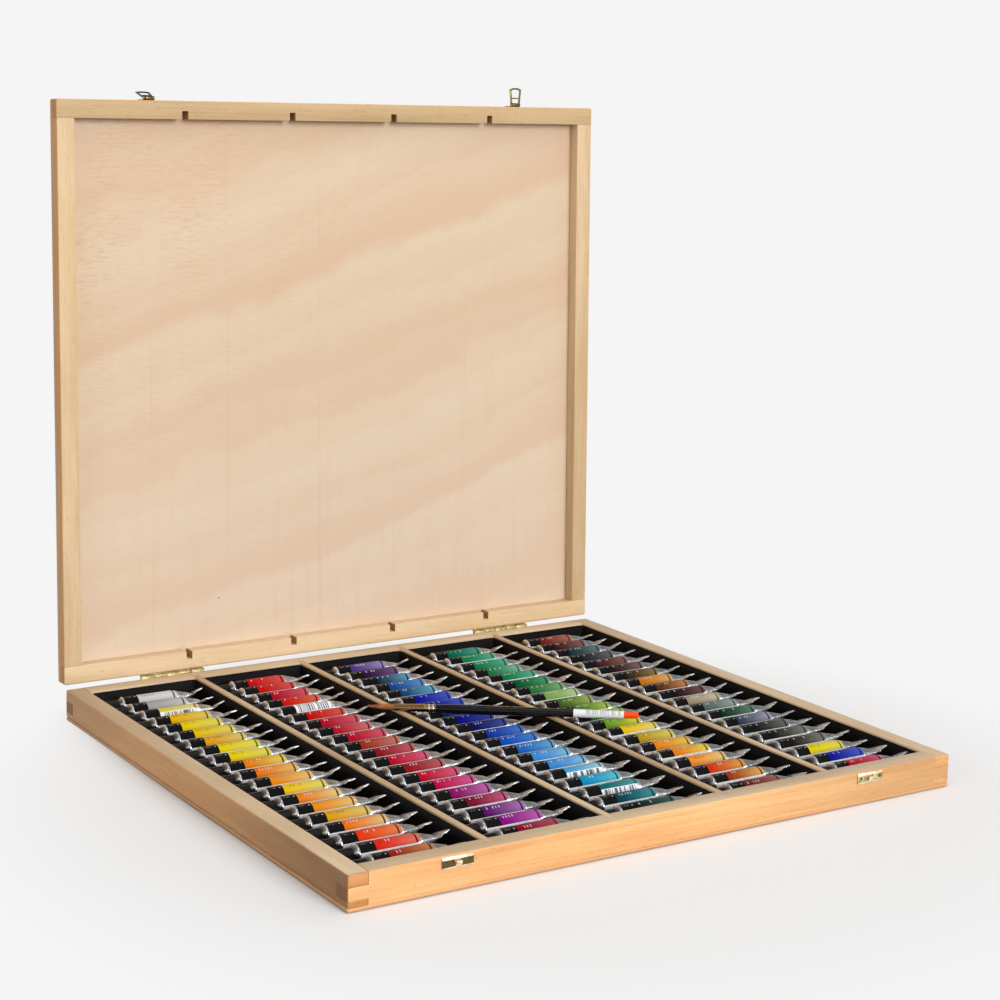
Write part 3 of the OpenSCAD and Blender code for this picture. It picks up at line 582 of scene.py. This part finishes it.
paints = {  # full tone and thin tone of each paint
    "white": ((222, 222, 224), (234, 234, 234)), "silver": ((184, 183, 184), (208, 206, 206)),
    "straw": ((232, 216, 96), (240, 228, 150)), "yolk": ((240, 194, 16), (242, 208, 78)),
    "lemon": ((240, 220, 20), (240, 228, 80)), "sun": ((240, 208, 22), (242, 222, 84)),
    "golden": ((236, 180, 24), (236, 206, 104)), "indian": ((240, 150, 14), (242, 218, 70)),
    "mango": ((242, 142, 22), (244, 196, 96)), "amber": ((245, 164, 32), (248, 204, 110)),
    "canary": ((245, 212, 28), (244, 224, 104)), "saffron": ((245, 150, 20), (246, 216, 132)),
    "tangerine": ((245, 138, 18), (248, 200, 126)), "blaze": ((244, 82, 16), (247, 132, 60)),
    "vermilion": ((236, 58, 34), (240, 112, 92)), "rust": ((180, 54, 30), (226, 134, 66)),
    "signal": ((214, 18, 26), (228, 70, 58)), "crimson": ((200, 18, 62), (222, 74, 98)),
    "poppy": ((216, 36, 28), (234, 90, 52)), "rose": ((196, 30, 58), (222, 104, 114)),
    "brick": ((180, 66, 46), (208, 116, 96)), "garnet": ((168, 30, 42), (200, 80, 90)),
    "ruby": ((206, 14, 62), (226, 80, 120)), "fuchsia": ((208, 10, 94), (224, 74, 146)),
    "orchid": ((160, 22, 122), (200, 92, 178)), "wine": ((142, 26, 58), (210, 74, 128)),
    "violet": ((120, 28, 132), (176, 108, 184)), "magenta": ((160, 20, 152), (200, 82, 184)),
    "cherry": ((166, 18, 60), (202, 62, 98)), "lilac": ((106, 76, 154), (156, 136, 196)),
    "plum": ((72, 32, 92), (108, 60, 128)), "petrol": ((20, 46, 72), (90, 160, 194)),
    "cobalt": ((40, 90, 168), (76, 146, 210)), "lagoon": ((26, 90, 138), (90, 172, 202)),
    "ultramarine": ((22, 32, 172), (44, 76, 202)), "indigo": ((18, 28, 112), (34, 58, 154)),
    "royal": ((24, 76, 178), (44, 112, 210)), "azure": ((18, 98, 202), (36, 130, 218)),
    "cornflower": ((42, 122, 200), (92, 170, 226)), "sky": ((76, 162, 226), (128, 196, 234)),
    "ice": ((90, 180, 226), (160, 216, 232)), "turquoise": ((16, 168, 208), (84, 202, 226)),
    "teal": ((16, 128, 136), (66, 162, 162)), "spruce": ((10, 90, 104), (34, 146, 154)),
    "pine": ((12, 58, 52), (44, 92, 82)), "viridian": ((16, 122, 100), (34, 160, 128)),
    "emerald": ((16, 144, 98), (66, 182, 140)), "mint": ((18, 142, 92), (116, 194, 162)),
    "leaf": ((12, 108, 72), (36, 162, 98)), "sage": ((58, 138, 82), (114, 178, 114)),
    "pistachio": ((144, 184, 98), (186, 218, 146)), "olive": ((90, 124, 42), (162, 186, 82)),
    "moss": ((90, 138, 34), (170, 202, 66)), "lime": ((66, 160, 64), (170, 216, 50)),
    "chartreuse": ((130, 186, 50), (226, 226, 66)), "mustard": ((202, 170, 34), (232, 216, 82)),
    "marigold": ((240, 154, 32), (248, 202, 66)), "apricot": ((248, 168, 66), (248, 210, 122)),
    "flame": ((224, 74, 26), (240, 162, 50)), "copper": ((178, 74, 26), (240, 176, 82)),
    "oxide": ((138, 54, 42), (176, 98, 82)), "maroon": ((90, 42, 42), (138, 82, 74)),
    "slate": ((42, 74, 80), (92, 118, 122)), "graphite": ((54, 56, 60), (92, 94, 98)),
    "umber": ((62, 40, 36), (124, 90, 74)), "bronze": ((76, 60, 26), (140, 114, 58)),
    "ochre": ((218, 140, 34), (232, 178, 82)), "sienna": ((108, 60, 28), (202, 130, 66)),
    "sepia": ((54, 28, 26), (108, 58, 50)), "sand": ((184, 168, 144), (208, 196, 168)),
    "celadon": ((106, 128, 120), (152, 168, 160)), "forest": ((26, 74, 54), (76, 130, 98)),
    "pewter": ((80, 86, 108), (156, 158, 178)), "ink": ((44, 46, 42), (98, 96, 88)),
    "taupe": ((54, 52, 46), (122, 118, 110)),
}
rows = (
    "white silver straw yolk lemon sun golden lemon lemon indian mango amber canary saffron"
    " amber golden tangerine blaze vermilion rust",
    "signal signal crimson poppy signal signal crimson rose crimson brick garnet ruby garnet"
    " ruby fuchsia orchid wine violet magenta cherry",
    "lilac plum petrol cobalt lagoon ultramarine ultramarine royal ultramarine indigo royal"
    " azure cornflower sky sky ice turquoise teal spruce pine",
    "viridian emerald emerald mint emerald leaf sage pistachio olive moss lime chartreuse"
    " canary mustard marigold indian apricot flame copper oxide",
    "oxide maroon slate graphite maroon umber bronze ochre sienna sepia sand celadon forest"
    " pewter ink taupe taupe lemon ultramarine ruby",
)
full_share, full_power = 0.70, 1.25  # how the full tones print on metal
thin_share, thin_lift = 0.60, 0.03  # and the thin tones
# How far round some tubes lie turned, by bay and place, so that their bars show
striped = {(2, 5): 88, (3, 16): 28, (3, 18): 28, (1, 3): 26}


def uneven(i, k):
    """The same small unevenness as in the trays' loading, between -1 and 1."""
    return math.sin(math.radians(137.5*i + 61*k + 23*i*k))


def tube_rings(bend):
    """Rings along a tube: distance along the metal, x, lift, pitch, half width, half
    thickness and how lens-shaped the ring is."""
    rings = [(s, s, 0, 0, r, r, 1.0) for s, r in (
        (cap_len - neck_len, neck_r), (cone_from, neck_r), (cone_from, lip_r),
        (cone_from + 0.0003, lip_r + 0.0004), (cone_from + 0.0026, cone_r),
        (body_from - 0.0005, rim_r), (body_from - 0.0003, 0.00695), (body_from, bead_r),
        (body_from + 0.0004, bead_r), (body_from + 0.0007, tube_r),
        (0.026, tube_r), (0.034, tube_r), (0.042, tube_r), (0.050, tube_r),
        (taper_from, tube_r))]
    for j in range(1, 11):
        t = j/10
        s = taper_from + t*(belly_to - taper_from)
        rings.append((s, s, 0, 0, tube_r + (belly_wide - tube_r)*t**1.3,
                      tube_r + (belly_thick - tube_r)*t**1.25, 1 + 0.5*t))
    for t in (0.3, 0.6, 0.85, 1.0):
        s = belly_to + t*(crimp_from - belly_to)
        rings.append((s, s, 0, 0, belly_wide + (crimp_half - belly_wide)*t,
                      belly_thick + (sheet_half - belly_thick)*t**0.8, 1.5))
    s, x, z = crimp_from, crimp_from, 0.0
    for stride, angle, thick in fold:
        a = math.radians(angle + bend - tube_bend)
        s, x, z = s + stride, x + stride*math.cos(a), z + stride*math.sin(a)
        rings.append((s, x, z, a, crimp_half, thick, 0.35))
    return rings


def add_tube(shape, layers, turn, bend, paint, shift, stripes, seed):
    """Draws one tube as a grid rolled into rings, and sets its label's values."""
    uv, full, thin, lined = layers
    rings = tube_rings(bend)
    grid = bmesh.ops.create_grid(shape, x_segments=len(rings) - 1, y_segments=ring_points,
                                 size=0.5)["verts"]
    place = {v: (n % len(rings), n//len(rings)) for n, v in enumerate(grid)}
    for face in {f for v in grid for f in v.link_faces}:
        for corner in face.loops:
            i, j = place[corner.vert]
            corner[uv].uv = (rings[i][0]*10, j/ring_points + shift/360)
    strong, weak = (tone(*row)[:3] for row in paints[paint])
    colours = (tuple(full_share*c**full_power for c in strong) + (1,),
               tuple(thin_share*c + thin_lift for c in weak) + (1,))
    for v, (i, j) in place.items():
        s, x, lift, pitch, wide, thick, lens_shape = rings[i]
        angle = 2*math.pi*(j % ring_points)/ring_points
        c, d = math.cos(angle), math.sin(angle)
        y, z = wide*c, thick*math.copysign(abs(d)**lens_shape, d)
        if body_from + 0.004 < s < crimp_from:
            dent = noise.noise(Vector((s*110, 2.2*c + seed, 2.2*d)))
            dent *= body_dent + belly_dent*max(0, min(1, (s - taper_from)/0.006))
            y, z = y + dent*c, z + dent*d
        if s > crimp_from:
            z += 0.0001*noise.noise(Vector((s*700, y*500, seed)))
        v.co = turn @ Vector((x - z*math.sin(pitch), y, lift + z*math.cos(pitch)))
        v[full], v[thin], v[lined] = colours[0], colours[1], stripes
    seam = [v for v, (i, j) in place.items() if j % ring_points == 0]
    bmesh.ops.remove_doubles(shape, verts=seam, dist=1e-6)


# The label, in millimetres along the tube and degrees round it from the patch's middle
label_from, band_to, ring_from, ring_to, enamel_to, label_to = 16.0, 27.7, 56.9, 58.2, 58.6, 60.2
fade_from, fade_to, patch_half = 28, 57, 94


def tube_finish():
    """Bare and printed aluminium. U runs along the tube in tenths of a metre, V round it."""
    material = blank_material("printed_aluminium")
    uv = put(material, "UVMap", uv_map="print")
    parts = put(material, "SeparateXYZ", {0: uv})
    s = maths(material, "MULTIPLY", parts, 100)  # millimetres from the cap's end
    turn = maths(material, "SUBTRACT", maths(material, "MULTIPLY", parts.node.outputs[1], 360),
                 90)  # degrees from the label's middle towards the front
    away = maths(material, "ABSOLUTE", turn)
    full = put(material, "Attribute", attribute_name="full")
    thin = put(material, "Attribute", attribute_name="thin")
    stripes = put(material, "Attribute", out="Fac", attribute_name="stripes")
    spot = put(material, "TexCoord", out="Object")

    def inside(value, low, high):
        return maths(material, "MULTIPLY", maths(material, "GREATER_THAN", value, low),
                     maths(material, "LESS_THAN", value, high))

    def both(first, *others):
        for other in others:
            first = maths(material, "MULTIPLY", first, other)
        return first

    def field(x_scale, y_scale, detail=0.0, along=None, rough=0.5):
        place = put(material, "CombineXYZ", {
            0: maths(material, "MULTIPLY", s, x_scale),
            1: maths(material, "MULTIPLY", turn if along is None else along, y_scale)})
        shifted = put(material, "VectorMath", {0: place, 1: put(material, "VectorMath", {
            0: full, 1: (13, 7, 19)}, operation="MULTIPLY")}, operation="ADD")
        return put(material, "TexNoise", {"Vector": shifted, "Scale": 1.0, "Detail": detail,
                                          "Roughness": rough})

    # The patch: full tone by the band, thinned towards the far end, with a few small marks.
    share = put(material, "MapRange", {"Value": s, "From Min": fade_from, "From Max": fade_to})
    wash = maths(material, "ADD", maths(material, "POWER", share, 1.5),
                 maths(material, "MULTIPLY", maths(material, "SUBTRACT", field(0.25, 0.05, 3), 0.5),
                       0.3))
    patch = blended(material, wash, full, thin)
    light = ramped(material, put(material, "RGBToBW", {0: full}), 0.24, 0.30)
    mark_tone = blended(material, light, tone(206, 208, 214), tone(92, 66, 22))
    rows_of_marks = maths(material, "LESS_THAN", maths(material, "FRACT", maths(
        material, "MULTIPLY", s, 0.42)), 0.34)
    marks = both(rows_of_marks, inside(s, 31.0, 41.5), inside(turn, 34, 52),
                 maths(material, "GREATER_THAN", field(0.42, 0.001), 0.46))
    patch = blended(material, maths(material, "MULTIPLY", marks, 0.7), patch, mark_tone)
    # The black band with a dot, and a short pale streak that is a painted highlight.
    dot = put(material, "VectorMath", {0: put(material, "CombineXYZ", {
        0: maths(material, "SUBTRACT", s, 25.6),
        1: maths(material, "MULTIPLY", maths(material, "SUBTRACT", turn, 42), 0.122)})},
        out="Value", operation="LENGTH")
    band = blended(material, maths(material, "LESS_THAN", dot, 0.55), tone(20, 19, 20),
                   tone(168, 172, 168))
    # Painted highlight: a short pale streak of broken strokes on the black band.
    gloss_streak = both(inside(s, 18.4, 22.6), inside(turn, 36, 43),
                  maths(material, "GREATER_THAN", field(1.3, 0.02), 0.5))
    band = blended(material, maths(material, "MULTIPLY", gloss_streak, 0.5), band,
                   tone(150, 150, 148))
    colour = blended(material, maths(material, "GREATER_THAN", s, band_to), band, patch)
    # A dark ring closes the patch, and a narrow strip of the thin tone follows.
    ring_tone = blended(material, 0.16, tone(14, 12, 14), full)
    colour = blended(material, inside(s, ring_from, ring_to), colour, ring_tone)
    colour = blended(material, maths(material, "GREATER_THAN", s, ring_to), colour, thin)
    # On a tube turned to show its bars, the band runs further round than the patch.
    reach = maths(material, "ADD", patch_half, maths(
        material, "MULTIPLY", stripes, maths(material, "LESS_THAN", s, band_to)))
    lined = maths(material, "GREATER_THAN", stripes, 0)
    printed = both(maths(material, "LESS_THAN", away, reach), inside(s, label_from, label_to))
    # The white side with grey marks, or with bars where that side lies up.
    words = both(maths(material, "GREATER_THAN", field(1.5, 0.16), 0.55),
                 inside(away, 97, 140), inside(s, 31, 56), maths(material, "SUBTRACT", 1, lined),
                 maths(material, "GREATER_THAN", field(0.12, 0.02), 0.47))
    side = blended(material, maths(material, "MULTIPLY", words, 0.62), tone(226, 227, 231),
                   tone(70, 66, 70))
    bars = both(maths(material, "GREATER_THAN", field(1.0, 0.0001), 0.5), lined,
                inside(s, 30, 56), inside(away, 98, 175))
    side = blended(material, maths(material, "MULTIPLY", bars, 0.85), side, tone(34, 32, 38))
    enamel = both(maths(material, "GREATER_THAN", away, patch_half),
                  inside(s, label_from, enamel_to))
    # Bare metal: smooth on the cone, wrinkled and stamped where it was pressed. A painted
    # dark reflection darkens the taper, and painted shade with a painted reflection of the wood the
    # cone.
    pressed = ramped(material, s, 58, 62)
    wrinkle = field(0.9, 0.05, 4, rough=0.65)
    cells = put(material, "TexVoronoi", {"Vector": spot, "Scale": 1100})
    stamped = maths(material, "MULTIPLY", maths(material, "ADD", wrinkle, maths(
        material, "MULTIPLY", cells, 0.7)), pressed)
    dark = blended(material, ramped(material, stamped, 0.5, 1.15), tone(240, 241, 244),
                   tone(168, 169, 172))
    # Painted dark reflection: the bare metal of the taper is darkened from 60 mm along, fading out
    # by 72 mm.
    neck = both(ramped(material, s, 60, 61), ramped(material, s, 72, 63))
    dark = blended(material, maths(material, "MULTIPLY", neck, 0.5), dark, tone(96, 96, 98))
    # Painted reflection and shade: the cone's bare metal is darkened to brown, standing in for the
    # wood it reflects in the tray's shadowed end.
    cone_reflection_shade = ramped(material, s, 16, 13)
    dark = blended(material, maths(material, "MULTIPLY", cone_reflection_shade, 0.9), dark,
                   tone(112, 95, 82))
    colour = blended(material, printed, blended(material, enamel, dark, side), colour)
    coat = maths(material, "MAXIMUM", printed, enamel)
    bare = maths(material, "SUBTRACT", 1, coat)
    rough = maths(material, "ADD", 0.27, maths(material, "MULTIPLY", both(bare, pressed), 0.1))
    height = maths(material, "ADD", stamped, maths(material, "MULTIPLY", field(
        0.16, 0.012, 2), 0.6))
    bump = put(material, "Bump", {"Strength": 0.8, "Distance": 0.00028, "Height": height})
    return finished(material, colour, rough, bump, metallic=bare, sheen=0.05)


printed_aluminium = tube_finish()
caps_low, caps_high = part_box("caps_3")
tube_z = (caps_low.z + caps_high.z)/2
tube_pitch = (caps_high.y - caps_low.y - cap_wide)/(tube_count - 1)
for k in range(1, 6):
    shape = bmesh.new()
    layers = (shape.loops.layers.uv.new("print"), shape.verts.layers.float_color.new("full"),
              shape.verts.layers.float_color.new("thin"), shape.verts.layers.float.new("stripes"))
    caps_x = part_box(f"tray_{k}")[0].x + cap_gap
    for i, paint in enumerate(rows[k - 1].split()):
        place = Vector((caps_x + 0.0008*uneven(i, k), ((tube_count - 1)/2 - i)*tube_pitch,
                        tube_z))
        turn = Matrix.Translation(place) @ Matrix.Rotation(
            math.radians(-tube_roll - 3*uneven(i + 3, k)), 4, "X")
        shown = striped.get((k, i + 1), 0)
        add_tube(shape, layers, turn, tube_bend + 7*uneven(i + 7, k), paint,
                 4*uneven(i + 11, k) + shown, float(shown), 9.7*i + k)
    bmesh.ops.holes_fill(shape, edges=[e for e in shape.edges if e.is_boundary])
    bmesh.ops.recalc_face_normals(shape, faces=shape.faces)
    piece(f"tube_bodies_{k}", shape, [printed_aluminium], f"tubes_{k}", "tube_metal",
          f"tubes_{k}")

# ---- Screw caps ----
# Black moulded plastic, with fine ribs round the grip and a plain collar at the tube's
# end. Each is screwed onto its tube's neck.
cap_black = plastic("cap_plastic", tone(20, 19, 20), 0.3, 0.0006)
for k in range(1, 6):
    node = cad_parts[f"caps_{k}"]
    node.data.materials.clear()
    node.data.materials.append(cap_black)

# ---- Brush ----
# Brown hair in a crimped metal ferrule on a black lacquered handle, whose end is dipped
# in orange. A white paper sleeve with a row of bars is wrapped round the handle.
def middle_of(node):
    places = [v.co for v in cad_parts[node].data.vertices]
    return sum(places, Vector())/len(places)


brush_axis = (middle_of("brush_sleeve") - middle_of("brush_hair")).normalized()
brush_side = brush_axis.cross(Vector((0, 0, 1))).normalized()
sleeve_places = [brush_axis.dot(v.co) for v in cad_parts["brush_sleeve"].data.vertices]
hair_places = [brush_axis.dot(v.co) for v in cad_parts["brush_hair"].data.vertices]
ferrule_places = [brush_axis.dot(v.co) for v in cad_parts["brush_ferrule"].data.vertices]


def brush_place(material):
    """Distance along the brush, in metres, and coordinates that run along it."""
    spot = put(material, "TexCoord", out="Object")
    along = put(material, "VectorMath", {0: spot, 1: brush_axis}, out="Value",
                operation="DOT_PRODUCT")
    side = put(material, "VectorMath", {0: spot, 1: brush_side}, out="Value",
               operation="DOT_PRODUCT")
    up = put(material, "SeparateXYZ", {0: spot}, out=2)
    return along, put(material, "CombineXYZ", {0: along, 1: side, 2: up}), side


def hair_finish():
    material = blank_material("brown_hair")
    along, place, _ = brush_place(material)
    strands = noise_of(material, stretched(material, place, "X", 60), 0.00045, 2, 0.6)
    colour = blended(material, ramped(material, strands, 0.35, 0.65), tone(88, 44, 18),
                     tone(186, 112, 52))
    tip = ramped(material, along, min(hair_places) + 0.006, min(hair_places) + 0.001)
    colour = blended(material, maths(material, "MULTIPLY", tip, 0.75), colour,
                     tone(46, 24, 14))
    bump = put(material, "Bump", {"Strength": 0.9, "Distance": 0.0003, "Height": strands})
    return finished(material, colour, 0.42, bump, sheen=0.4)


def ferrule_finish():
    """Polished metal, pressed into two grooves near the handle, which are painted almost white as a
    painted glint.
    """
    material = blank_material("ferrule_metal")
    along, place, _ = brush_place(material)
    scratch = noise_of(material, stretched(material, place, "X", 30), 0.0003, 2, 0.5)
    grooves_and_glint = None
    for back in (0.0022, 0.0052):
        gap = maths(material, "ABSOLUTE", maths(material, "SUBTRACT", along,
                                                max(ferrule_places) - back))
        groove = ramped(material, gap, 0.0012, 0.0004)
        grooves_and_glint = groove if grooves_and_glint is None else maths(material, "ADD", grooves_and_glint, groove)
    # Painted glint: the grooves are lightened almost to white.
    colour = blended(material, grooves_and_glint, tone(164, 134, 96), tone(232, 226, 214))
    height = maths(material, "ADD", grooves_and_glint, maths(material, "MULTIPLY", scratch, 0.06))
    bump = put(material, "Bump", {"Strength": 0.8, "Distance": 0.0005, "Height": height})
    rough = put(material, "MapRange", {"Value": scratch, "To Min": 0.12, "To Max": 0.26})
    return finished(material, colour, rough, bump, metallic=1.0)


def lacquer_finish():
    """Black lacquer with a thin broken gold line, and orange from the sleeve's end on."""
    material = blank_material("handle_lacquer")
    along, place, side = brush_place(material)
    waver = noise_of(material, place, 0.006, 3, 0.5)
    dipped = maths(material, "GREATER_THAN", along, max(sleeve_places) - 0.002)
    start = max(ferrule_places)
    dashes = noise_of(material, stretched(material, place, "Y", 40), 0.0011, 0)
    line = maths(material, "MULTIPLY", maths(material, "GREATER_THAN", dashes, 0.5),
                 maths(material, "MULTIPLY", maths(material, "GREATER_THAN", along,
                                                   start + 0.038),
                       maths(material, "LESS_THAN", along, start + 0.092)))
    offset = maths(material, "ABSOLUTE", maths(material, "SUBTRACT", side,
                                               brush_side.dot(middle_of("brush_handle"))))
    line = maths(material, "MULTIPLY", line, maths(material, "LESS_THAN", offset, 0.0004))
    colour = blended(material, line, tone(13, 12, 12), tone(176, 146, 84))
    colour = blended(material, dipped, colour, tone(238, 74, 12))
    rough = put(material, "MapRange", {"Value": waver, "To Min": 0.10, "To Max": 0.20})
    bump = put(material, "Bump", {"Strength": 0.1, "Distance": 0.0002, "Height": waver})
    return finished(material, colour, rough, bump, sheen=0.35)


def sleeve_finish():
    material = blank_material("sleeve_paper")
    along, place, side = brush_place(material)
    bars = noise_of(material, put(material, "CombineXYZ", {0: along}), 0.00055, 0)
    share = put(material, "MapRange", {"Value": along, "From Min": min(sleeve_places),
                                       "From Max": max(sleeve_places)})
    height = put(material, "SeparateXYZ", {0: place}, out=2)
    upper = maths(material, "GREATER_THAN", height, middle_of("brush_sleeve").z + 0.0004)
    printed = maths(material, "MULTIPLY", maths(material, "MULTIPLY", maths(
        material, "GREATER_THAN", share, 0.22), maths(material, "LESS_THAN", share, 0.94)),
        upper)
    ink = maths(material, "MULTIPLY", maths(material, "GREATER_THAN", bars, 0.5), printed)
    colour = blended(material, maths(material, "MULTIPLY", ink, 0.62), tone(226, 226, 228),
                     tone(72, 72, 76))
    fibre = noise_of(material, place, 0.0004, 2)
    bump = put(material, "Bump", {"Strength": 0.2, "Distance": 0.00005, "Height": fibre})
    return finished(material, colour, 0.4, bump, sheen=0.3)


for node, finish in (("brush_hair", hair_finish()), ("brush_ferrule", ferrule_finish()),
                     ("brush_handle", lacquer_finish()), ("brush_sleeve", sleeve_finish())):
    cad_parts[node].data.materials.clear()
    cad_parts[node].data.materials.append(finish)
